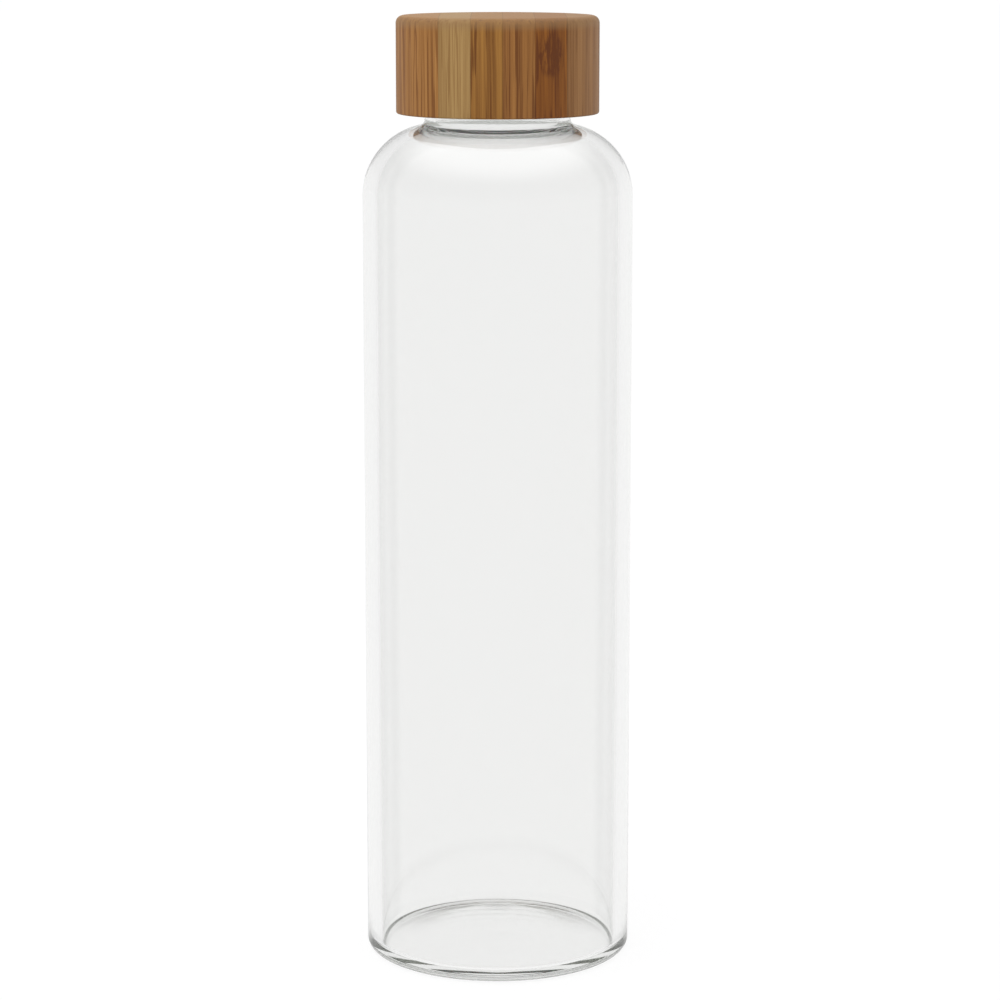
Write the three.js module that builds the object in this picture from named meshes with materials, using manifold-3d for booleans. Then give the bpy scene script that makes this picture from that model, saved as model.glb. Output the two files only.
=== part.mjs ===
// A glass water bottle with a screw cap turned from laminated bamboo.
// Millimetres, +Z up, origin at the centre of the ring that the bottle stands on.
//
// The bottle is one blown piece of clear glass: a straight body, a round shoulder and a short neck with a
// continuous screw thread. The cap is a block glued up from bamboo strips, turned round and bored from below,
// with a moulded liner fixed in the bore that carries the matching thread. A silicone ring between the
// liner's ceiling and the lip of the neck makes the seal.
import * as THREE from "three";
import { mergeVertices } from "three/addons/utils/BufferGeometryUtils.js";
import Module from "manifold-3d";

const wasm = await Module();
wasm.setup();

// ---------- driving dimensions ----------
const AROUND = 48; // facets round every turned surface
const CUT_MARGIN = 1; // how far a cutting block reaches past what it cuts
const HEIGHT = 230; // from the table to the top of the tight cap

// glass body
const BODY_R = 32.5;
const BODY_WALL = 3.4;
const FLOOR = 2.4; // thickness of the floor at the standing ring
const HEEL_R = 2.2; // outer edge between wall and base
const INNER_HEEL_R = 1.5; // inner corner between wall and floor
const STANDING_RING_W = 2; // flat width of the ring that touches the table
const PUSH_UP = 1; // how far the middle of the base is raised off the table
const SHOULDER_R = 17.4; // radius of the round shoulder
const SHOULDER_WALL = 2.3; // the wall thins to this where the shoulder meets the neck

// glass neck
const NECK_R = 17.5; // root of the thread
const NECK_WALL = 2.4;
const NECK_FOOT_R = 1.5; // rounding where the bore opens into the body
const LIP_EDGE = 1;
const NECK_FILLET = 1.4; // hollow between shoulder and neck
const NECK_SHOWN = 1.4; // straight neck between that hollow's upper end and the rim of the tight cap

// screw thread: a 38 mm finish, 6 threads to the inch
const PITCH = 25.4 / 6;
const THREAD_TURNS = 1.5;
const THREAD_TOP_BELOW_LIP = 2.8;
const THREAD_HEIGHT = 1.25;
const THREAD_FOOT_W = 2.3;
const THREAD_CREST_W = 1;
const THREAD_FADE = 0.09; // share of the thread at each end that dies into the wall
const THREAD_TAIL = 0.02; // share of the full height that is left at the very ends
const SINK = 0.4; // how far a ridge or rib is sunk into its wall, so that the two join
const THREAD_GAP = 0.3; // between the flanks of the two threads with the cap tight
const RADIAL_GAP = 0.35; // between each crest and the wall that it faces

// seal
const SEAL_THICK = 1.6;
const SEAL_GAP = 0.1; // above and below the seal
const SEAL_SIDE_GAP = 0.3; // inside and outside the seal
const SEAL_EDGE = 0.3;

// liner in the cap
const LINER_WALL = 1.6;
const LINER_TOP = 1.6;
const LINER_RIB_HEIGHT = 0.3;
const LINER_RIB_W = 1.2;
const LINER_RIBS = 16;
const LINER_THREAD_FOOT_W = 2;
const LINER_THREAD_CREST_W = 0.8;
const LINER_RECESS = 0.5; // its rim lies this far inside the rim of the cap
const PLUG_DROP = 1.4; // centring ring under the ceiling, inside the seal
const PLUG_WALL = 1.2;
const PLUG_GAP = 0.6; // between the centring ring and the bore of the neck

// bamboo cap
const CAP_WALL = 3;
const CAP_TOP_THICK = 6.3;
const CAP_TOP_EDGE = 1.8; // rounded upper edge
const CAP_BOTTOM_EDGE = 0.5;
const CAP_SKIRT = 4.05; // how far the cap reaches below the lower end of the glass thread
const POCKET_GAP = 0.3; // round the liner and above it
const ROWS = 6;
const STRIP_W = 7.5; // width of a bamboo strip
const FIRST_JOINT_X = -13.8; // glue line between the first two rows of strips
const END_JOINT_Y = [3.5, -4.5]; // where the two strips of a row meet, in turn from row to row

// ---------- sizes that follow, from the top down ----------
const POCKET_TOP_Z = HEIGHT - CAP_TOP_THICK;
const LINER_TOP_Z = POCKET_TOP_Z - POCKET_GAP;
const CEILING_Z = LINER_TOP_Z - LINER_TOP;
const LIP_Z = CEILING_Z - SEAL_THICK - 2 * SEAL_GAP;
const GLASS_THREAD_Z = LIP_Z - THREAD_TOP_BELOW_LIP - THREAD_TURNS * PITCH; // lower end of the glass thread
const CAP_BOTTOM_Z = GLASS_THREAD_Z - CAP_SKIRT;
const LINER_BOTTOM_Z = CAP_BOTTOM_Z + LINER_RECESS;

const INNER_R = BODY_R - BODY_WALL;
const INNER_SHOULDER_R = SHOULDER_R - SHOULDER_WALL;
const SHOULDER_CENTRE_R = BODY_R - SHOULDER_R;
const INNER_SHOULDER_CENTRE_R = INNER_R - INNER_SHOULDER_R;
const BORE_R = NECK_R - NECK_WALL;
const LINER_INNER_R = NECK_R + THREAD_HEIGHT + RADIAL_GAP;
const LINER_R = LINER_INNER_R + LINER_WALL;
const POCKET_R = LINER_R + LINER_RIB_HEIGHT + POCKET_GAP;
const CAP_R = POCKET_R + CAP_WALL;
const PLUG_R = BORE_R - PLUG_GAP;

// A rounding of one radius that lies against a round shoulder of another, each with its centre at a given
// radius: the angle at which they touch, in degrees, and how far the rounding's centre is above the shoulder's.
// Where the shoulder ends short of the rounding, a flat top joins the two.
function against(shoulderR, shoulderCentreR, roundingR, roundingCentreR) {
  const reach = shoulderR + roundingR;
  const inward = Math.max(0, roundingCentreR - shoulderCentreR);
  const angle = THREE.MathUtils.radToDeg(Math.acos(inward / reach));
  return { angle, rise: Math.sqrt(reach ** 2 - inward ** 2) };
}

const FILLET_CENTRE_R = NECK_R + NECK_FILLET;
const NECK_BOTTOM_Z = CAP_BOTTOM_Z - NECK_SHOWN;
const SHOULDER_MEETS_FILLET = against(SHOULDER_R, SHOULDER_CENTRE_R, NECK_FILLET, FILLET_CENTRE_R);
const SHOULDER_Z = NECK_BOTTOM_Z - SHOULDER_MEETS_FILLET.rise; // where the straight wall ends

// ---------- outline helpers ----------
// Points of an arc round (r, z), from one angle to another in degrees, both ends included.
function arc(r, z, radius, from, to, steps) {
  return Array.from({ length: steps + 1 }, (_, i) => {
    const a = THREE.MathUtils.degToRad(from + ((to - from) * i) / steps);
    return new THREE.Vector2(r + radius * Math.cos(a), z + radius * Math.sin(a));
  });
}

const point = (r, z) => new THREE.Vector2(r, z);

const SAME_POINT = 1e-4;

// A turned solid. The outline runs counter-clockwise in the half plane of radius and height, so that its
// faces point out, and a point that repeats the last one is left out. LatheGeometry turns about Y, and the
// quarter turn stands it on Z.
function turned(outline) {
  const distinct = outline.filter((p, i) => i === 0 || p.distanceTo(outline[i - 1]) > SAME_POINT);
  return new THREE.LatheGeometry([...distinct, distinct[0]], AROUND).rotateX(Math.PI / 2);
}

// ---------- solids for cutting and joining ----------
function solid(geometry) {
  const plain = geometry.index ? geometry.toNonIndexed() : geometry.clone();
  plain.deleteAttribute("normal");
  plain.deleteAttribute("uv");
  const merged = mergeVertices(plain, SAME_POINT);
  const mesh = new wasm.Mesh({
    numProp: 3,
    vertProperties: merged.getAttribute("position").array,
    triVerts: new Uint32Array(merged.index.array),
  });
  return new wasm.Manifold(mesh);
}

function geometryOf(manifold) {
  const { vertProperties, triVerts } = manifold.getMesh();
  return new THREE.BufferGeometry()
    .setAttribute("position", new THREE.BufferAttribute(vertProperties, 3))
    .setIndex(new THREE.BufferAttribute(triVerts, 1))
    .toNonIndexed();
}

function block(x0, x1, y0, y1, z0, z1) {
  const box = new THREE.BoxGeometry(x1 - x0, y1 - y0, z1 - z0);
  return box.translate((x0 + x1) / 2, (y0 + y1) / 2, (z0 + z1) / 2);
}

// ---------- screw thread ----------
// A helical ridge, right-handed, rising with the angle. footR is the radius of the wall it grows from and
// crestR that of its crest, inside or outside. It is sunk below the wall by SINK so that the two join. Its
// height grows from nothing to full over the first stretch and dies away over the last.
function threadRidge({ footR, crestR, footW, crestW, startZ }) {
  const outward = Math.sign(crestR - footR);
  const fullHeight = Math.abs(crestR - footR);
  const slope = (footW - crestW) / 2 / fullHeight;
  const steps = Math.round(THREAD_TURNS * AROUND);
  const corners = 4;
  const positions = [];
  for (let i = 0; i <= steps; i++) {
    const share = i / steps;
    const angle = share * THREAD_TURNS * 2 * Math.PI;
    const z = startZ + share * THREAD_TURNS * PITCH;
    const rise = Math.min(1, share / THREAD_FADE, (1 - share) / THREAD_FADE);
    const height = fullHeight * Math.max(rise, THREAD_TAIL);
    const sunkR = footR - outward * SINK;
    const topR = footR + outward * height;
    const sunkHalf = footW / 2 + slope * SINK;
    const topHalf = footW / 2 - slope * height;
    const section = [
      [sunkR, -sunkHalf * outward],
      [topR, -topHalf * outward],
      [topR, topHalf * outward],
      [sunkR, sunkHalf * outward],
    ];
    for (const [r, dz] of section) positions.push(r * Math.cos(angle), r * Math.sin(angle), z + dz);
  }
  const faces = [];
  for (let i = 0; i < steps; i++) {
    for (let c = 0; c < corners; c++) {
      const a = i * corners + c;
      const b = i * corners + ((c + 1) % corners);
      faces.push(a, b + corners, b, a, a + corners, b + corners);
    }
  }
  const last = steps * corners;
  faces.push(0, 1, 2, 0, 2, 3, last, last + 2, last + 1, last, last + 3, last + 2);
  return new THREE.BufferGeometry()
    .setAttribute("position", new THREE.BufferAttribute(new Float32Array(positions), 3))
    .setIndex(faces);
}

// With the cap tight, the liner's thread lies this far below the glass thread, so that it pulls the cap down.
// The two come closest either at the liner's crest or at the glass's.
function threadOffset() {
  const glassFlank = (THREAD_FOOT_W - THREAD_CREST_W) / 2 / THREAD_HEIGHT;
  const linerFlank = (LINER_THREAD_FOOT_W - LINER_THREAD_CREST_W) / 2 / THREAD_HEIGHT;
  const atLinerCrest = THREAD_FOOT_W / 2 - glassFlank * RADIAL_GAP + LINER_THREAD_CREST_W / 2;
  const atGlassCrest = LINER_THREAD_FOOT_W / 2 - linerFlank * RADIAL_GAP + THREAD_CREST_W / 2;
  return THREAD_GAP + Math.max(atLinerCrest, atGlassCrest);
}

// ---------- glass bottle ----------
// The glass is one piece. It is held as three solids that meet face to face: a straight-sided cup, the round
// shoulder, and the neck with its thread.
function cupOutline() {
  const ringOuter = BODY_R - HEEL_R;
  const ringInner = ringOuter - STANDING_RING_W;
  const domeR = (ringInner ** 2 + PUSH_UP ** 2) / (2 * PUSH_UP); // sphere that raises the base by PUSH_UP
  const domeHalf = THREE.MathUtils.radToDeg(Math.asin(ringInner / domeR));
  return [
    ...arc(0, PUSH_UP - domeR, domeR, 90, 90 - domeHalf, 3),
    ...arc(ringOuter, HEEL_R, HEEL_R, -90, 0, 3),
    point(BODY_R, SHOULDER_Z),
    point(INNER_R, SHOULDER_Z),
    ...arc(INNER_R - INNER_HEEL_R, FLOOR + INNER_HEEL_R, INNER_HEEL_R, 0, -90, 4),
    point(0, FLOOR + PUSH_UP / 2),
  ];
}

function shoulderOutline() {
  const outer = SHOULDER_MEETS_FILLET;
  const footR = BORE_R + NECK_FOOT_R;
  const inner = against(INNER_SHOULDER_R, INNER_SHOULDER_CENTRE_R, NECK_FOOT_R, footR);
  return [
    ...arc(SHOULDER_CENTRE_R, SHOULDER_Z, SHOULDER_R, 0, outer.angle, 9),
    ...arc(FILLET_CENTRE_R, NECK_BOTTOM_Z, NECK_FILLET, 180 + outer.angle, 180, 4),
    point(BORE_R, NECK_BOTTOM_Z),
    ...arc(footR, SHOULDER_Z + inner.rise, NECK_FOOT_R, 180, 180 + inner.angle, 3),
    ...arc(INNER_SHOULDER_CENTRE_R, SHOULDER_Z, INNER_SHOULDER_R, inner.angle, 0, 7),
  ];
}

function glassNeck() {
  const tube = turned([
    point(NECK_R, NECK_BOTTOM_Z),
    ...arc(NECK_R - LIP_EDGE, LIP_Z - LIP_EDGE, LIP_EDGE, 0, 90, 2),
    ...arc(BORE_R + LIP_EDGE, LIP_Z - LIP_EDGE, LIP_EDGE, 90, 180, 2),
    point(BORE_R, NECK_BOTTOM_Z),
  ]);
  const thread = threadRidge({
    footR: NECK_R,
    crestR: NECK_R + THREAD_HEIGHT,
    footW: THREAD_FOOT_W,
    crestW: THREAD_CREST_W,
    startZ: GLASS_THREAD_Z,
  });
  return geometryOf(solid(tube).add(solid(thread)));
}

// ---------- liner ----------
function capLiner() {
  const cup = turned([
    point(LINER_INNER_R, LINER_BOTTOM_Z),
    point(LINER_R, LINER_BOTTOM_Z),
    point(LINER_R, LINER_TOP_Z),
    point(0, LINER_TOP_Z),
    point(0, CEILING_Z),
    point(PLUG_R - PLUG_WALL, CEILING_Z),
    point(PLUG_R - PLUG_WALL, CEILING_Z - PLUG_DROP),
    point(PLUG_R, CEILING_Z - PLUG_DROP),
    point(PLUG_R, CEILING_Z),
    point(LINER_INNER_R, CEILING_Z),
  ]);
  const thread = threadRidge({
    footR: LINER_INNER_R,
    crestR: NECK_R + RADIAL_GAP,
    footW: LINER_THREAD_FOOT_W,
    crestW: LINER_THREAD_CREST_W,
    startZ: GLASS_THREAD_Z - threadOffset(),
  });
  let liner = solid(cup).add(solid(thread));
  const ribHeight = LINER_TOP_Z - LINER_BOTTOM_Z - 2 * LINER_RIB_W;
  for (let i = 0; i < LINER_RIBS; i++) {
    const rib = new THREE.BoxGeometry(LINER_RIB_HEIGHT + SINK, LINER_RIB_W, ribHeight)
      .translate(LINER_R + (LINER_RIB_HEIGHT - SINK) / 2, 0, (LINER_TOP_Z + LINER_BOTTOM_Z) / 2)
      .rotateZ((i / LINER_RIBS) * 2 * Math.PI);
    liner = liner.add(solid(rib));
  }
  return geometryOf(liner);
}

// ---------- seal ----------
function sealRing() {
  const inner = PLUG_R + SEAL_SIDE_GAP;
  const outer = LINER_INNER_R - SEAL_SIDE_GAP;
  const low = LIP_Z + SEAL_GAP;
  const high = low + SEAL_THICK;
  return turned([
    point(inner + SEAL_EDGE, low),
    point(outer - SEAL_EDGE, low),
    point(outer, low + SEAL_EDGE),
    point(outer, high - SEAL_EDGE),
    point(outer - SEAL_EDGE, high),
    point(inner + SEAL_EDGE, high),
    point(inner, high - SEAL_EDGE),
    point(inner, low + SEAL_EDGE),
  ]);
}

// ---------- bamboo cap ----------
function turnedBlock() {
  return solid(
    turned([
      point(POCKET_R, CAP_BOTTOM_Z),
      point(CAP_R - CAP_BOTTOM_EDGE, CAP_BOTTOM_Z),
      point(CAP_R, CAP_BOTTOM_Z + CAP_BOTTOM_EDGE),
      ...arc(CAP_R - CAP_TOP_EDGE, HEIGHT - CAP_TOP_EDGE, CAP_TOP_EDGE, 0, 90, 4),
      point(0, HEIGHT),
      point(0, POCKET_TOP_Z),
      point(POCKET_R, POCKET_TOP_Z),
    ]),
  );
}

// The turned block, sawn along its glue lines: rows of strips side by side along X, two strips to a row.
function bambooStrips() {
  const whole = turnedBlock();
  const edge = CAP_R + CUT_MARGIN;
  const low = CAP_BOTTOM_Z - CUT_MARGIN;
  const high = HEIGHT + CUT_MARGIN;
  const strips = [];
  for (let row = 0; row < ROWS; row++) {
    const x0 = row === 0 ? -edge : FIRST_JOINT_X + (row - 1) * STRIP_W;
    const x1 = row === ROWS - 1 ? edge : FIRST_JOINT_X + row * STRIP_W;
    const joint = END_JOINT_Y[row % END_JOINT_Y.length];
    const front = whole.intersect(solid(block(x0, x1, -edge, joint, low, high)));
    const back = whole.intersect(solid(block(x0, x1, joint, edge, low, high)));
    strips.push([`bamboo_strip_${row + 1}_front`, geometryOf(front)]);
    strips.push([`bamboo_strip_${row + 1}_back`, geometryOf(back)]);
  }
  return strips;
}

// ---------- materials ----------
function glass() {
  const clear = { transparent: true, opacity: 0.35 };
  return new THREE.MeshStandardMaterial({ color: 0xeef1ee, roughness: 0.02, metalness: 0, ...clear });
}

function bamboo(color) {
  return new THREE.MeshStandardMaterial({ color, roughness: 0.55, metalness: 0 });
}

function whitePlastic() {
  return new THREE.MeshStandardMaterial({ color: 0xeeeeea, roughness: 0.45, metalness: 0 });
}

function silicone() {
  return new THREE.MeshStandardMaterial({ color: 0xe6e8e8, roughness: 0.6, metalness: 0 });
}

const STRIP_COLORS = [0x9b6b40, 0xa6825a, 0x8f6133, 0x895a31, 0x74451f, 0x86603b];

// ---------- the bottle ----------
function named(name, geometry, material) {
  const mesh = new THREE.Mesh(geometry, material);
  mesh.name = name;
  return mesh;
}

const bottle = new THREE.Group();
bottle.add(named("glass_body", turned(cupOutline()), glass()));
bottle.add(named("glass_shoulder", turned(shoulderOutline()), glass()));
bottle.add(named("glass_neck", glassNeck(), glass()));

const cap = new THREE.Group();
cap.add(named("seal_ring", sealRing(), silicone()));
cap.add(named("cap_liner", capLiner(), whitePlastic()));
bambooStrips().forEach(([name, geometry], i) => {
  cap.add(named(name, geometry, bamboo(STRIP_COLORS[Math.floor(i / 2)])));
});
bottle.add(cap);

export default bottle;
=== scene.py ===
"""A glass water bottle with a screw cap turned from bamboo, built piece by piece around its CAD frame."""
import math

import bmesh
import bpy
import numpy as np
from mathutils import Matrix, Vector


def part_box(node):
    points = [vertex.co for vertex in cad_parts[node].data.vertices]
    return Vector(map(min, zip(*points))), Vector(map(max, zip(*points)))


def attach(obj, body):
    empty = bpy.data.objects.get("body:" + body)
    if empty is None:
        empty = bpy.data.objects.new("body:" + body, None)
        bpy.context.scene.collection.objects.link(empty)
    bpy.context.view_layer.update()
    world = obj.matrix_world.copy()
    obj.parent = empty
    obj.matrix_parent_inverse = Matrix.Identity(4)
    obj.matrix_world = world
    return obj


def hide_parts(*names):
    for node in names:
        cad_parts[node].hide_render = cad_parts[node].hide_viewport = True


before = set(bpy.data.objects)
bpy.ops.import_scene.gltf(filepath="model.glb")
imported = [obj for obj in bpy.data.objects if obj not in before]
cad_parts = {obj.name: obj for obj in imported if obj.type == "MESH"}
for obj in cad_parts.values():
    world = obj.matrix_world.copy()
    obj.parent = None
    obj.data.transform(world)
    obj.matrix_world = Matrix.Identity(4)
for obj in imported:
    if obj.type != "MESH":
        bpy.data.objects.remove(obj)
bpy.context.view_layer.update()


# ---------------------------------------------------------------------------------------------------------
# 1. The bottle. One piece of clear glass, blown in a mould: a straight body, a round shoulder and a short
#    neck whose screw thread is pressed in the same mould. It stands on a ring round its raised base.
# ---------------------------------------------------------------------------------------------------------
MM = 0.001
AROUND = 256  # steps round a turned surface

body_low, body_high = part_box("glass_body")
neck_low, neck_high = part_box("glass_neck")
body_r = (body_high[0] - body_low[0]) / 2
lip_z = neck_high[2]
body_wall = 3.4 * MM
floor_t = 2.4 * MM
heel_r = 2.2 * MM  # outer edge between wall and base
inner_heel_r = 1.5 * MM
standing_ring_w = 2 * MM
push_up = 1.0 * MM  # how far the middle of the base is raised
shoulder_r = 17.4 * MM
shoulder_z = body_high[2]  # where the straight wall ends
shoulder_wall = 2.3 * MM
neck_r = 17.5 * MM
neck_fillet = 1.4 * MM  # hollow between shoulder and neck
bore_r = 15.1 * MM
neck_foot_r = 1.5 * MM  # rounding where the bore opens into the body
lip_edge = 1 * MM
outline_step = 1.5 * MM
thread_step = 0.16 * MM  # finer, where a thread has to be drawn

thread_pitch = 25.4 / 6 * MM
thread_turns = 1.5
thread_height = 1.25 * MM
thread_fade = 0.09  # share of the thread at each end that dies away
thread_foot_w = 2.3 * MM
thread_crest_w = 1 * MM
thread_low_z = lip_z - 2.8 * MM - thread_turns * thread_pitch


def arc(r, z, radius, start, stop, steps):
    """Points round (r, z) at that radius, from one angle to another in degrees, both ends included."""
    a = np.radians(np.linspace(start, stop, steps + 1))
    return np.column_stack([r + radius * np.cos(a), z + radius * np.sin(a)])


def spread(points, longest):
    """The same outline with every stretch cut into equal steps no longer than the length given."""
    pieces = []
    for a, b in zip(points[:-1], points[1:]):
        steps = max(1, math.ceil(np.linalg.norm(b - a) / longest))
        t = np.arange(steps)[:, None] / steps
        pieces.append(a + (b - a) * t)
    return np.vstack(pieces + [points[-1:]])


def helix_ridge(angle, z, low_z, height, foot_w, crest_w):
    """How far a screw thread stands out at each angle and height: a ridge that climbs one pitch a turn,
    full between its crest's edges, sloping to nothing at its foot, and dying away at both ends."""
    ridge = np.zeros(np.broadcast(angle, z).shape)
    for turn in range(math.ceil(thread_turns)):
        along = angle + 2 * np.pi * turn
        share = along / (2 * np.pi * thread_turns)
        off = np.abs(z - (low_z + along / (2 * np.pi) * thread_pitch))
        flank = np.clip((foot_w / 2 - off) / (foot_w / 2 - crest_w / 2), 0, 1)
        flank = flank * flank * (3 - 2 * flank)
        ends = np.clip(np.minimum(share, 1 - share) / thread_fade, 0, 1)
        ridge = np.maximum(ridge, height * flank * ends)
    return ridge


def turned(name, outline, thread=None, around=AROUND, crease=180):
    """A closed turned surface. The point at angle a and outline place s is (r(s) cos a, r(s) sin a, z(s)).
    Where a thread is given, r grows by what it returns. Outline ends on the axis become single points."""
    angle = np.arange(around) * 2 * np.pi / around
    r = np.repeat(outline[:, 0][:, None], around, axis=1)
    z = np.repeat(outline[:, 1][:, None], around, axis=1)
    if thread is not None:
        r = r + thread(angle[None, :], z, r)
    verts = np.stack([r * np.cos(angle), r * np.sin(angle), z], axis=-1).reshape(-1, 3)
    rows = len(outline)
    i, j = np.meshgrid(np.arange(rows - 1), np.arange(around), indexing="ij")
    k = (j + 1) % around
    here, above = i * around, (i + 1) * around
    quads = np.stack([here + j, here + k, above + k, above + j], axis=-1)
    mesh = bpy.data.meshes.new(name)
    mesh.from_pydata(verts.tolist(), [], quads.reshape(-1, 4).tolist())
    return closed(name, mesh, crease)


def closed(name, mesh, crease):
    """The mesh as a shown object: doubled points merged, faces pointing out, shaded smooth except at edges
    where it turns by more than the crease angle."""
    bm = bmesh.new()
    bm.from_mesh(mesh)
    bmesh.ops.remove_doubles(bm, verts=bm.verts, dist=0.002 * MM)
    bmesh.ops.dissolve_degenerate(bm, edges=bm.edges, dist=0.001 * MM)
    bmesh.ops.recalc_face_normals(bm, faces=bm.faces)
    if bm.calc_volume(signed=True) < 0:
        bmesh.ops.reverse_faces(bm, faces=bm.faces)
    for face in bm.faces:
        face.smooth = True
    for edge in bm.edges:
        edge.smooth = edge.calc_face_angle(0) < math.radians(crease)
    bm.to_mesh(mesh)
    bm.free()
    piece = bpy.data.objects.new(name, mesh)
    bpy.context.scene.collection.objects.link(piece)
    return piece


def touching(centre_r, shoulder, rounding, rounding_r):
    """Where a rounding lies against a round shoulder: the angle at which they touch, in degrees, and how
    far the rounding's centre is above the shoulder's."""
    reach = shoulder + rounding
    inward = rounding_r - centre_r
    return math.degrees(math.acos(inward / reach)), math.sqrt(reach**2 - inward**2)


def bottle_outline():
    """Up the outside from the middle of the base, over the lip, and down the inside to the middle of the
    floor."""
    ring_outer = body_r - heel_r
    ring_inner = ring_outer - standing_ring_w
    dome_r = (ring_inner**2 + push_up**2) / (2 * push_up)
    dome_half = math.degrees(math.asin(ring_inner / dome_r))
    centre_r = body_r - shoulder_r
    fillet_r = neck_r + neck_fillet
    meet, fillet_rise = touching(centre_r, shoulder_r, neck_fillet, fillet_r)
    inner_r = body_r - body_wall
    inner_shoulder = shoulder_r - shoulder_wall
    inner_centre = inner_r - inner_shoulder
    foot_r = bore_r + neck_foot_r
    foot, foot_rise = touching(inner_centre, inner_shoulder, neck_foot_r, foot_r)
    body = np.vstack([
        arc(0, push_up - dome_r, dome_r, 90, 90 - dome_half, 24),
        arc(ring_outer, heel_r, heel_r, -90, 0, 24),
        arc(centre_r, shoulder_z, shoulder_r, 0, meet, 64),
        arc(fillet_r, shoulder_z + fillet_rise, neck_fillet, 180 + meet, 180, 16)[1:],
    ])
    threaded = spread(np.array([body[-1], [neck_r, lip_z - lip_edge]]), thread_step)[1:]
    floor_line = np.array([[inner_r - inner_heel_r, floor_t], [0, floor_t + push_up / 2]])
    inside = np.vstack([
        arc(neck_r - lip_edge, lip_z - lip_edge, lip_edge, 0, 90, 8)[1:],
        arc(bore_r + lip_edge, lip_z - lip_edge, lip_edge, 90, 180, 8),
        arc(foot_r, shoulder_z + foot_rise, neck_foot_r, 180, 180 + foot, 14),
        arc(inner_centre, shoulder_z, inner_shoulder, foot, 0, 48)[1:],
        arc(inner_r - inner_heel_r, floor_t + inner_heel_r, inner_heel_r, 0, -90, 20),
        spread(floor_line, outline_step)[1:],
    ])
    return np.vstack([body, threaded, inside])


def lies_on(r, wall_r):
    """Which points of an outline lie on the straight wall of that radius."""
    return np.abs(r - wall_r) < 0.01 * MM


def glass_thread(angle, z, r):
    """The thread, which stands outward from the straight neck."""
    ridge = helix_ridge(angle, z, thread_low_z, thread_height, thread_foot_w, thread_crest_w)
    return lies_on(r, neck_r) * ridge


def ranged(tree, value, low, high, to_low, to_high, smooth=False):
    """The value carried from one range to another, held at the ends, along a line or an S."""
    node = tree.nodes.new("ShaderNodeMapRange")
    node.interpolation_type = "SMOOTHSTEP" if smooth else "LINEAR"
    node.inputs["From Min"].default_value = low
    node.inputs["From Max"].default_value = high
    node.inputs["To Min"].default_value = to_low
    node.inputs["To Max"].default_value = to_high
    tree.links.new(value, node.inputs["Value"])
    return node.outputs["Result"]


def worked(tree, operation, a, b):
    """Two values, each an output or a number, put together by one operation."""
    node = tree.nodes.new("ShaderNodeMath")
    node.operation = operation
    for socket, value in zip(node.inputs, (a, b)):
        if isinstance(value, (int, float)):
            socket.default_value = value
        else:
            tree.links.new(value, socket)
    return node.outputs["Value"]


def scaled(tree, color, factor):
    """A colour, an output or three numbers, made brighter or darker by a factor."""
    node = tree.nodes.new("ShaderNodeVectorMath")
    node.operation = "SCALE"
    if isinstance(color, tuple):
        node.inputs[0].default_value = color
    else:
        tree.links.new(color, node.inputs[0])
    tree.links.new(factor, node.inputs["Scale"])
    return node.outputs["Vector"]


def bare(name):
    """A new material, with its nodes and its main shader."""
    material = bpy.data.materials.new(name)
    material.use_nodes = True
    return material, material.node_tree, material.node_tree.nodes["Principled BSDF"]


GLASS_IOR = 1.5
GLASS_TINT = (0.933, 0.934, 0.93)
GLASS_DEPTH = ((0.48, 0.5, 0.46, 1), 4.5)  # colour and density of what it swallows along the way
# painted shade on the glass: the colour is dimmed where the wall is seen at a steep slant
SHADE_BAND_IN = (0.42, 0.53, 1.0, 0.88)  # from one slant to another, from one brightness to another
SHADE_BAND_OUT = (0.55, 0.64, 0.0, 0.07)


def clear_glass():
    """Soda-lime glass: faintly grey-green along a thick path. Its colour also carries painted shade: it is
    a little darker where the wall is seen at a steep slant, in place of the dark edges that the room's
    light gives it."""
    material, tree, shader = bare("clear_glass")
    shader.inputs["Transmission Weight"].default_value = 1
    shader.inputs["Roughness"].default_value = 0.0
    shader.inputs["IOR"].default_value = GLASS_IOR
    slant = tree.nodes.new("ShaderNodeLayerWeight")
    slant.inputs["Blend"].default_value = 0.5
    into = ranged(tree, slant.outputs["Facing"], *SHADE_BAND_IN, smooth=True)
    out_of = ranged(tree, slant.outputs["Facing"], *SHADE_BAND_OUT, smooth=True)
    # painted shade: the glass colour is dimmed at a steep slant and brought partly back beyond it
    band = worked(tree, "ADD", into, out_of)
    tree.links.new(scaled(tree, GLASS_TINT, band), shader.inputs["Base Color"])
    depth = tree.nodes.new("ShaderNodeVolumeAbsorption")
    depth.inputs["Color"].default_value, depth.inputs["Density"].default_value = GLASS_DEPTH
    tree.links.new(depth.outputs["Volume"], tree.nodes["Material Output"].inputs["Volume"])
    return material


bottle = turned("bottle_glass", bottle_outline(), glass_thread)
bottle.data.materials.append(clear_glass())
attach(bottle, "bottle")
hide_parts("glass_body", "glass_shoulder", "glass_neck")


# ---------------------------------------------------------------------------------------------------------
# 2. The seal. A flat ring stamped from translucent silicone. It lies loose between the lip of the glass and
#    the ceiling of the liner, round the liner's centring ring.
# ---------------------------------------------------------------------------------------------------------
seal_low, seal_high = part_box("seal_ring")
seal_outer = (seal_high[0] - seal_low[0]) / 2
seal_side_gap = 0.3 * MM
seal_inner = bore_r - seal_side_gap
seal_edge = 0.3 * MM


def seal_outline():
    """Round the ring's cut face, with its four edges broken."""
    low, high = seal_low[2], seal_high[2]
    corners = np.vstack([
        arc(seal_outer - seal_edge, low + seal_edge, seal_edge, -90, 0, 4),
        arc(seal_outer - seal_edge, high - seal_edge, seal_edge, 0, 90, 4),
        arc(seal_inner + seal_edge, high - seal_edge, seal_edge, 90, 180, 4),
        arc(seal_inner + seal_edge, low + seal_edge, seal_edge, 180, 270, 4),
    ])
    return np.vstack([corners, corners[:1]])


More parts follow.
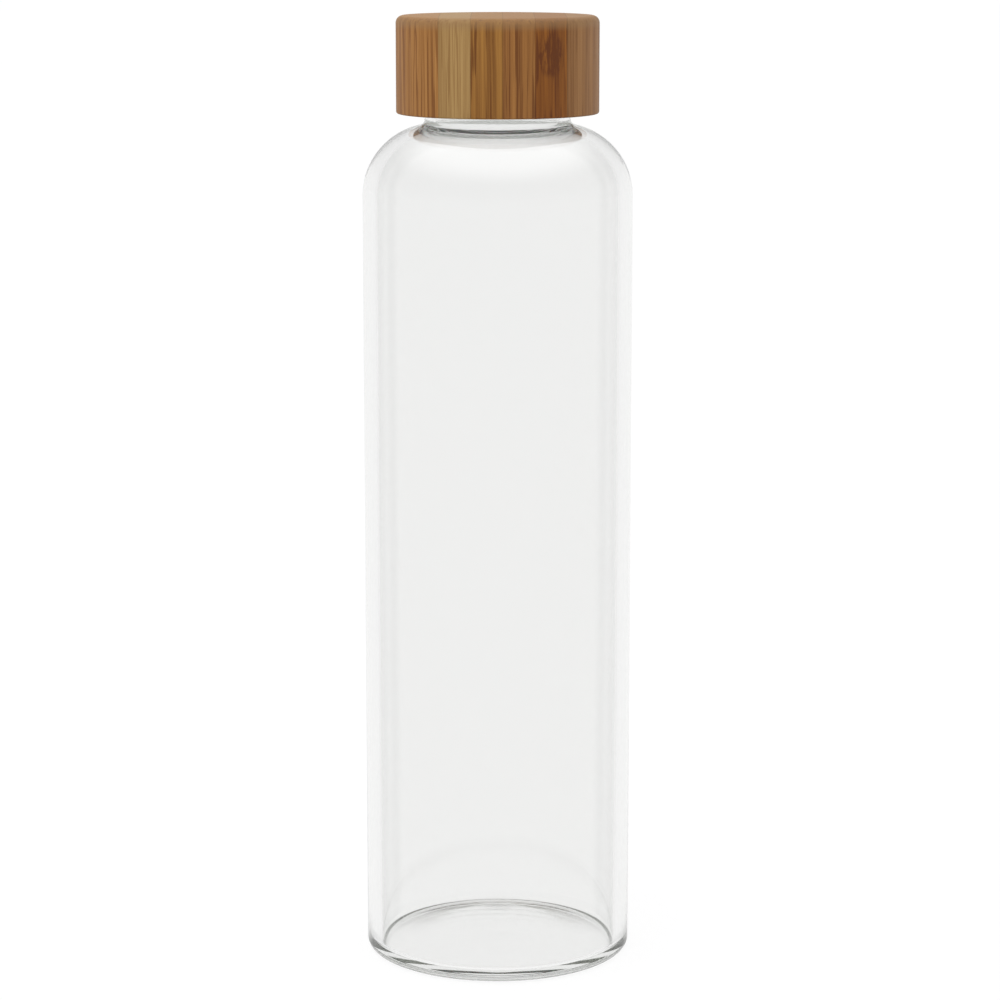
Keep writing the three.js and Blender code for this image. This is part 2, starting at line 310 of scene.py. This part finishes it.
def grained(tree, scale):
    """An even grain that is fixed to the piece."""
    place = tree.nodes.new("ShaderNodeTexCoord")
    grain = tree.nodes.new("ShaderNodeTexNoise")
    grain.inputs["Scale"].default_value = scale
    tree.links.new(place.outputs["Object"], grain.inputs["Vector"])
    return grain.outputs["Fac"]


SILICONE_COLOR = (0.78, 0.8, 0.79, 1)
SILICONE_GRAIN = 2500
SILICONE_ROUGH = (0.42, 0.6)


def silicone():
    """Milky silicone with a faint mould texture."""
    material, tree, shader = bare("silicone")
    shader.inputs["Base Color"].default_value = SILICONE_COLOR
    shader.inputs["Subsurface Weight"].default_value = 0.3
    shader.inputs["Subsurface Scale"].default_value = 1 * MM
    grain = grained(tree, SILICONE_GRAIN)
    tree.links.new(ranged(tree, grain, 0, 1, *SILICONE_ROUGH), shader.inputs["Roughness"])
    return material


seal = turned("seal_silicone", seal_outline())
seal.data.materials.append(silicone())
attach(seal, "seal")
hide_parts("seal_ring")


# ---------------------------------------------------------------------------------------------------------
# 3. The liner. Moulded white polypropylene, pressed and glued into the bamboo with ribs round its outside.
#    It carries the thread that runs on the glass, and a short ring under its ceiling that centres the seal.
# ---------------------------------------------------------------------------------------------------------
liner_low, liner_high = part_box("cap_liner")
radial_gap = 0.35 * MM  # between each crest and the wall that it faces
liner_wall = 1.6 * MM
liner_top = 1.6 * MM
liner_inner = neck_r + thread_height + radial_gap
liner_outer = liner_inner + liner_wall
ceiling_z = liner_high[2] - liner_top
plug_r = bore_r - 0.6 * MM  # the centring ring stands inside the neck
plug_wall = 1.2 * MM
plug_drop = 1.4 * MM
rib_count = 16
rib_height = 0.3 * MM
rib_w = 1.2 * MM
rib_edge = 0.25 * MM
liner_edge = 0.25 * MM
liner_foot_w = 2 * MM
liner_crest_w = 0.8 * MM
flank_gap = 0.3 * MM  # between the flanks of the two threads


liner_step = 0.5 * MM


def thread_offset():
    """How far the liner's thread lies below the glass thread when the cap is tight."""
    glass_flank = (thread_foot_w - thread_crest_w) / 2 / thread_height
    liner_flank = (liner_foot_w - liner_crest_w) / 2 / thread_height
    at_liner_crest = thread_foot_w / 2 - glass_flank * radial_gap + liner_crest_w / 2
    at_glass_crest = liner_foot_w / 2 - liner_flank * radial_gap + thread_crest_w / 2
    return flank_gap + max(at_liner_crest, at_glass_crest)


def liner_outline():
    """Up the outside from the rim, over the top to the axis, back along the ceiling round the centring
    ring, and down the threaded inside to the rim."""
    low, high, edge = liner_low[2], liner_high[2], liner_edge
    outside = np.vstack([
        arc(liner_inner + edge, low + edge, edge, 180, 270, 3),
        arc(liner_outer - edge, low + edge, edge, -90, 0, 3),
    ])
    wall = spread(np.array([outside[-1], [liner_outer, high - edge]]), liner_step)[1:]
    top = np.vstack([arc(liner_outer - edge, high - edge, edge, 0, 90, 3), [[0, high]]])
    ceiling = np.vstack([
        [[0, ceiling_z], [plug_r - plug_wall, ceiling_z]],
        arc(plug_r - plug_wall + edge, ceiling_z - plug_drop + edge, edge, 180, 270, 3),
        arc(plug_r - edge, ceiling_z - plug_drop + edge, edge, -90, 0, 3),
        [[plug_r, ceiling_z], [liner_inner, ceiling_z]],
    ])
    inside = spread(np.array([[liner_inner, ceiling_z], [liner_inner, low + edge]]), thread_step)[1:]
    return np.vstack([outside, wall, top, ceiling, inside])


def liner_relief(angle, z, r):
    """The thread, which stands inward from the inner wall, and the ribs, outward from the outer wall."""
    low_z = thread_low_z - thread_offset()
    thread = helix_ridge(angle, z, low_z, thread_height, liner_foot_w, liner_crest_w)
    step = 2 * np.pi / rib_count
    off = np.abs((angle + step / 2) % step - step / 2) * liner_outer
    reach = (z > liner_low[2] + rib_w) & (z < liner_high[2] - rib_w)
    rib = rib_height * np.clip((rib_w / 2 - off) / rib_edge, 0, 1)
    return lies_on(r, liner_outer) * reach * rib - lies_on(r, liner_inner) * thread


def raised(tree, shader, height, strength, distance):
    """The pattern given, felt as a slight relief in the surface."""
    bump = tree.nodes.new("ShaderNodeBump")
    bump.inputs["Strength"].default_value = strength
    bump.inputs["Distance"].default_value = distance
    tree.links.new(height, bump.inputs["Height"])
    tree.links.new(bump.outputs["Normal"], shader.inputs["Normal"])


PLASTIC_COLOR = (0.83, 0.83, 0.81, 1)
PLASTIC_GRAIN = 4000
PLASTIC_ROUGH = (0.32, 0.48)
plastic_relief = 0.02 * MM


def white_plastic():
    """Injection-moulded polypropylene: white, satin, with a fine spark-eroded grain from the mould."""
    material, tree, shader = bare("white_plastic")
    shader.inputs["Base Color"].default_value = PLASTIC_COLOR
    shader.inputs["Subsurface Weight"].default_value = 0.15
    shader.inputs["Subsurface Scale"].default_value = 1 * MM
    grain = grained(tree, PLASTIC_GRAIN)
    tree.links.new(ranged(tree, grain, 0, 1, *PLASTIC_ROUGH), shader.inputs["Roughness"])
    raised(tree, shader, grain, 0.15, plastic_relief)
    return material


liner_around = 384  # finer, for the ribs
liner = turned("liner_plastic", liner_outline(), liner_relief, around=liner_around, crease=40)
liner.data.materials.append(white_plastic())
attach(liner, "cap")
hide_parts("cap_liner")


# ---------------------------------------------------------------------------------------------------------
# 4. The bamboo. Strips of carbonised bamboo with their grain upright, glued side by side into a block,
#    which is turned round, bored from below for the liner, sanded and oiled. Each strip keeps its colour.
# ---------------------------------------------------------------------------------------------------------
strip_nodes = [f"bamboo_strip_{row}_{side}" for row in range(1, 7) for side in ("front", "back")]
strip_boxes = {node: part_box(node) for node in strip_nodes}
cap_r = max(high[1] for low, high in strip_boxes.values())
cap_low = min(low[2] for low, high in strip_boxes.values())
cap_high = max(high[2] for low, high in strip_boxes.values())
cap_edge = 1.8 * MM
cap_lower_edge = 0.5 * MM
pocket_gap = 0.3 * MM
pocket_r = liner_outer + rib_height + pocket_gap
pocket_top = liner_high[2] + pocket_gap
first, last = "bamboo_strip_1", "bamboo_strip_6"


def block_outline():
    """The turned block: out from the axis along the top, down the side, and back up the bored pocket."""
    return np.vstack([
        [[0, cap_high], [cap_r * 0.5, cap_high]],
        arc(cap_r - cap_edge, cap_high - cap_edge, cap_edge, 90, 0, 12),
        arc(cap_r - cap_lower_edge, cap_low + cap_lower_edge, cap_lower_edge, 0, -90, 6),
        [[pocket_r, cap_low], [pocket_r, pocket_top], [0, pocket_top]],
    ])


def sawn(bm, at, across, side):
    """Keeps what lies on one side of the plane x = at or y = at, and closes the cut with flat faces."""
    point = Vector((at, 0, 0)) if across == 0 else Vector((0, at, 0))
    normal = Vector((side, 0, 0)) if across == 0 else Vector((0, side, 0))
    cut = bmesh.ops.bisect_plane(bm, geom=bm.verts[:] + bm.edges[:] + bm.faces[:], dist=1e-7,
                                 plane_co=point, plane_no=normal, clear_outer=True)
    rim = [e for e in cut["geom_cut"] if isinstance(e, bmesh.types.BMEdge)]
    bmesh.ops.holes_fill(bm, edges=rim, sides=0)


def bamboo_strip(name, node, block):
    """The turned block between the strip's two glue lines, in front of or behind the joint in its row."""
    low, high = strip_boxes[node]
    bm = bmesh.new()
    bm.from_mesh(block.data)
    if not node.startswith(first):
        sawn(bm, low[0], 0, -1)
    if not node.startswith(last):
        sawn(bm, high[0], 0, 1)
    if node.endswith("front"):
        sawn(bm, high[1], 1, 1)
    else:
        sawn(bm, low[1], 1, -1)
    mesh = bpy.data.meshes.new(name)
    bm.to_mesh(mesh)
    bm.free()
    return closed(name, mesh, 30)


STRIP_LOOKS = {
    # row: (colour of the strip, how strongly its streaks stand out)
    1: ((0.302, 0.132, 0.031), 1.35),
    2: ((0.341, 0.202, 0.070), 0.85),
    3: ((0.248, 0.106, 0.018), 1.55),
    4: ((0.242, 0.098, 0.021), 1.4),
    5: ((0.195, 0.062, 0.005), 1.5),
    6: ((0.246, 0.114, 0.036), 1.0),
}
DARK_CUT = (0.30, 0.38, 0.48)  # how much darker and lighter than the strip's colour its streaks are
LIGHT_CUT = (0.22, 0.28, 0.36)
# painted highlight: the colour and share towards which the top edge of the cap is made paler
TOP_HIGHLIGHT_COLOR = (0.285, 0.168, 0.076)  # colour towards which the upper edge is paler
TOP_HIGHLIGHT_SHARE = 0.55
GLUE_DARK = 0.6
BROAD_SHARE, FINE_SHARE, VEIN_SHARE, SCAR_SHARE = 0.5, 0.62, 0.6, 0.9
SWAY, BROAD, FINE, VEIN, KNOT = (70, 1), (420, 2), (1900, 4), (1500, 1), (1500, 4)  # scale and detail
SWAY_LONG, GRAIN_LONG, VEIN_LONG, KNOT_LONG = 0.5, 0.015, 0.03, 0.16  # the less, the longer drawn out
DOT_SCALE = 1500  # bundles cut across, to the metre
FIBRE_ROUGH = (0.62, 0.5)
FIBRE_GLOSS = 0.25
fibre_relief = 0.03 * MM
SCARRED = "bamboo_strip_5_front"
scar_x, scar_z = 12.3 * MM, 221.5 * MM
scar_half_w, scar_half_h = 3.8 * MM, 5.5 * MM
glue_line = 0.12 * MM
sway_by = 0.12 * MM
highlight_from, highlight_to = cap_high - 3.4 * MM, cap_high - 1.2 * MM


def noise(tree, vector, scale, detail):
    """A cloudy pattern on the coordinates given."""
    node = tree.nodes.new("ShaderNodeTexNoise")
    node.inputs["Scale"].default_value = scale
    node.inputs["Detail"].default_value = detail
    node.inputs["Roughness"].default_value = 0.6
    tree.links.new(vector, node.inputs["Vector"])
    return node.outputs["Fac"]


def drawn_out(tree, vector, along, offset):
    """Coordinates pressed together along the stalk, so that a pattern on them is drawn out that way."""
    node = tree.nodes.new("ShaderNodeMapping")
    node.inputs["Location"].default_value = offset
    node.inputs["Scale"].default_value = (1, 1, along)
    tree.links.new(vector, node.inputs["Vector"])
    return node.outputs["Vector"]


def blended(tree, factor, a, b):
    """From colour a to colour b, each an output or three numbers."""
    node = tree.nodes.new("ShaderNodeMix")
    node.data_type = "RGBA"
    tree.links.new(factor, node.inputs["Factor"])
    for socket, value in ((node.inputs[6], a), (node.inputs[7], b)):
        if isinstance(value, tuple):
            socket.default_value = (*value, 1)
        else:
            tree.links.new(value, socket)
    return node.outputs[2]


def bamboo(name, node, color, streak, seed):
    """Upright fibre bundles. The colour moves between a dark and a light cut of the strip's own tone in
    broad bands, fine fibres and short dark veins, all drawn out along the stalk. It is dotted where the
    bundles are cut across, darker in the glue lines, and blotched where a leaf node was. Towards the upper
    edge it is made paler as a painted highlight."""
    material, tree, shader = bare(name)
    place = tree.nodes.new("ShaderNodeTexCoord").outputs
    xyz = tree.nodes.new("ShaderNodeSeparateXYZ")
    tree.links.new(place["Object"], xyz.inputs["Vector"])
    x, y, z = xyz.outputs

    slow = drawn_out(tree, place["Object"], SWAY_LONG, (seed, 0, 0))
    sway = worked(tree, "MULTIPLY", ranged(tree, noise(tree, slow, *SWAY), 0.3, 0.7, -1, 1), sway_by)
    swayed = tree.nodes.new("ShaderNodeCombineXYZ")
    tree.links.new(worked(tree, "ADD", x, sway), swayed.inputs["X"])
    tree.links.new(y, swayed.inputs["Y"])
    tree.links.new(z, swayed.inputs["Z"])
    grain = drawn_out(tree, swayed.outputs["Vector"], GRAIN_LONG, (seed, seed, 0))
    broad = ranged(tree, noise(tree, grain, *BROAD), 0.36, 0.64, 0, 1)
    fine = ranged(tree, noise(tree, grain, *FINE), 0.32, 0.68, 0, 1)
    short = drawn_out(tree, swayed.outputs["Vector"], VEIN_LONG, (0, seed, seed))
    vein = ranged(tree, noise(tree, short, *VEIN), 0.56, 0.66, 0, VEIN_SHARE, smooth=True)

    light = worked(tree, "ADD", worked(tree, "MULTIPLY", broad, BROAD_SHARE),
                   worked(tree, "MULTIPLY", fine, FINE_SHARE))
    light = worked(tree, "SUBTRACT", light, vein)
    if node == SCARRED:
        across = worked(tree, "DIVIDE", worked(tree, "SUBTRACT", x, scar_x), scar_half_w)
        along = worked(tree, "DIVIDE", worked(tree, "SUBTRACT", z, scar_z), scar_half_h)
        off = worked(tree, "ADD", worked(tree, "POWER", across, 2), worked(tree, "POWER", along, 2))
        knot = noise(tree, drawn_out(tree, place["Object"], KNOT_LONG, (0, 0, 0)), *KNOT)
        inside = ranged(tree, off, 0.1, 1.1, SCAR_SHARE, 0, smooth=True)
        scar = worked(tree, "MULTIPLY", inside, ranged(tree, knot, 0.42, 0.56, 0, 1))
        light = worked(tree, "SUBTRACT", light, scar)

    dark_cut = tuple(c * (1 - streak * d) for c, d in zip(color, DARK_CUT))
    light_cut = tuple(c * (1 + streak * d) for c, d in zip(color, LIGHT_CUT))
    shade = blended(tree, light, dark_cut, light_cut)

    dots = tree.nodes.new("ShaderNodeTexVoronoi")
    dots.inputs["Scale"].default_value = DOT_SCALE
    tree.links.new(drawn_out(tree, place["Object"], 0, (0, 0, seed)), dots.inputs["Vector"])
    off_dot = ranged(tree, dots.outputs["Distance"], 0.16, 0.34, 0, 1, smooth=True)
    across_cut = blended(tree, off_dot, dark_cut, light_cut)
    normal = tree.nodes.new("ShaderNodeSeparateXYZ")
    tree.links.new(place["Normal"], normal.inputs["Vector"])
    level = worked(tree, "ABSOLUTE", normal.outputs["Z"], 0)
    shade = blended(tree, ranged(tree, level, 0.75, 0.98, 0, 1, smooth=True), shade, across_cut)

    # painted highlight: the colour is made paler towards the top edge
    edge = ranged(tree, z, highlight_from, highlight_to, 0, TOP_HIGHLIGHT_SHARE, smooth=True)
    shade = blended(tree, edge, shade, TOP_HIGHLIGHT_COLOR)

    low, high = strip_boxes[node]
    glue = 1.0
    if not node.startswith(first):
        glue = ranged(tree, x, low[0], low[0] + glue_line, GLUE_DARK, 1)
    if not node.startswith(last):
        glue = worked(tree, "MULTIPLY", ranged(tree, x, high[0] - glue_line, high[0], 1, GLUE_DARK), glue)
    joint = (low[1], low[1] + glue_line, GLUE_DARK, 1)
    if node.endswith("front"):
        joint = (high[1] - glue_line, high[1], 1, GLUE_DARK)
    glue = worked(tree, "MULTIPLY", ranged(tree, y, *joint), glue)
    tree.links.new(scaled(tree, shade, glue), shader.inputs["Base Color"])

    tree.links.new(ranged(tree, fine, 0, 1, *FIBRE_ROUGH), shader.inputs["Roughness"])
    shader.inputs["Specular IOR Level"].default_value = FIBRE_GLOSS
    raised(tree, shader, light, 0.35, fibre_relief)
    return material


SEED_STEP = 0.037
block = turned("bamboo_block", block_outline())
for number, node in enumerate(strip_nodes):
    strip = bamboo_strip(node.replace("bamboo_strip", "cap_strip"), node, block)
    color, streak = STRIP_LOOKS[number // 2 + 1]
    strip.data.materials.append(bamboo(strip.name, node, color, streak, seed=SEED_STEP * (number + 1)))
    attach(strip, "cap")
    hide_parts(node)
bpy.data.objects.remove(block)


# ---------------------------------------------------------------------------------------------------------
# 5. The studio. A white floor and background, one soft lamp up to the left, and the camera.
# ---------------------------------------------------------------------------------------------------------
scene = bpy.context.scene
scene.view_settings.view_transform = "Standard"
BOUNCES = 128
scene.cycles.max_bounces = BOUNCES
scene.cycles.glossy_bounces = BOUNCES
scene.cycles.transmission_bounces = BOUNCES
FLOOR_GLOW = 1.03  # even white of the floor as the camera sees it
FLOOR_CAMERA_SHARE = 0.88  # share of that white; the rest is the lit floor with its shadow
FLOOR_MIRROR_SHARE = 0.6
ROOM_LIGHT = 0.85  # the room's light on matt surfaces
ROOM_WALL = (0.0, 0.35, 0.9, 0.55)  # what a glossy surface sees of the room, from level to steeply up
ROOM_CEILING = (0.45, 0.95, 0, 2.6)
floor_half = 30
floor_drop = 0.2 * MM
softbox_size = (1.8, 0.7)
softbox_place = (-0.4, -0.6, 0.95)
softbox_aim = (0, 0, 0.15)
SOFTBOX_WATTS = 3.6
camera_place = (0.00056, -0.7705, 0.2557)
CAMERA_DOWN = 10.52  # degrees below level
CAMERA_LENS = 115.3
CAMERA_SENSOR = 36
CAMERA_REACH = 200


def white_stage(name):
    """A matt white surface. The camera and glass see it as white with only a faint shadow, and a glossy
    surface sees it a little darker, as the far end of a room."""
    material, tree, shader = bare(name)
    shader.inputs["Base Color"].default_value = (1, 1, 1, 1)
    shader.inputs["Roughness"].default_value = 0.9
    shader.inputs["Specular IOR Level"].default_value = 0
    glow = tree.nodes.new("ShaderNodeEmission")
    ray = tree.nodes.new("ShaderNodeLightPath").outputs
    tree.links.new(ranged(tree, ray["Is Camera Ray"], 0, 1, 1, FLOOR_GLOW), glow.inputs["Strength"])
    seen = worked(tree, "MULTIPLY", ray["Is Camera Ray"], FLOOR_CAMERA_SHARE)
    mirrored = worked(tree, "MULTIPLY", ray["Is Glossy Ray"], FLOOR_MIRROR_SHARE)
    share = worked(tree, "MAXIMUM", worked(tree, "MAXIMUM", seen, mirrored), ray["Is Transmission Ray"])
    mix = tree.nodes.new("ShaderNodeMixShader")
    tree.links.new(share, mix.inputs["Fac"])
    tree.links.new(shader.outputs["BSDF"], mix.inputs[1])
    tree.links.new(glow.outputs["Emission"], mix.inputs[2])
    tree.links.new(mix.outputs["Shader"], tree.nodes["Material Output"].inputs["Surface"])
    return material


floor_mesh = bpy.data.meshes.new("floor")
corners = [(i * floor_half, j * floor_half, 0) for i, j in ((-1, -1), (1, -1), (1, 1), (-1, 1))]
floor_mesh.from_pydata(corners, [], [(0, 1, 2, 3)])
floor = bpy.data.objects.new("floor", floor_mesh)
scene.collection.objects.link(floor)
floor_mesh.materials.append(white_stage("floor"))
floor.location.z = -floor_drop

world = bpy.data.worlds.new("studio")
scene.world = world
world.use_nodes = True
air = world.node_tree
sight = air.nodes.new("ShaderNodeLightPath").outputs
clear = worked(air, "MAXIMUM", sight["Is Camera Ray"], sight["Is Transmission Ray"])
direction = air.nodes.new("ShaderNodeSeparateXYZ")
air.links.new(air.nodes.new("ShaderNodeTexCoord").outputs["Generated"], direction.inputs["Vector"])
wall = ranged(air, direction.outputs["Z"], *ROOM_WALL, smooth=True)
ceiling = ranged(air, direction.outputs["Z"], *ROOM_CEILING, smooth=True)
reflected = worked(air, "MULTIPLY", worked(air, "ADD", wall, ceiling), sight["Is Glossy Ray"])
lit = ranged(air, sight["Is Glossy Ray"], 0, 1, ROOM_LIGHT, 0)
room = worked(air, "ADD", reflected, lit)
shown = worked(air, "MAXIMUM", clear, worked(air, "MULTIPLY", room, worked(air, "SUBTRACT", 1, clear)))
air.links.new(shown, air.nodes["Background"].inputs["Strength"])
air.nodes["Background"].inputs["Color"].default_value = (1, 1, 1, 1)

softbox_data = bpy.data.lights.new("softbox", "AREA")
softbox_data.shape = "RECTANGLE"
softbox_data.size, softbox_data.size_y = softbox_size
softbox_data.energy = SOFTBOX_WATTS
softbox = bpy.data.objects.new("softbox", softbox_data)
scene.collection.objects.link(softbox)
softbox.location = softbox_place
softbox.rotation_euler = (Vector(softbox_aim) - softbox.location).to_track_quat("-Z", "Y").to_euler()
softbox.visible_camera = False
softbox.visible_glossy = False
softbox.visible_transmission = False

camera_data = bpy.data.cameras.new("camera")
camera = bpy.data.objects.new("camera", camera_data)
scene.collection.objects.link(camera)
scene.camera = camera
camera_data.lens = CAMERA_LENS
camera_data.sensor_width = CAMERA_SENSOR
camera_data.clip_end = CAMERA_REACH
camera.location = camera_place
camera.rotation_euler = (math.radians(90 - CAMERA_DOWN), 0, 0)
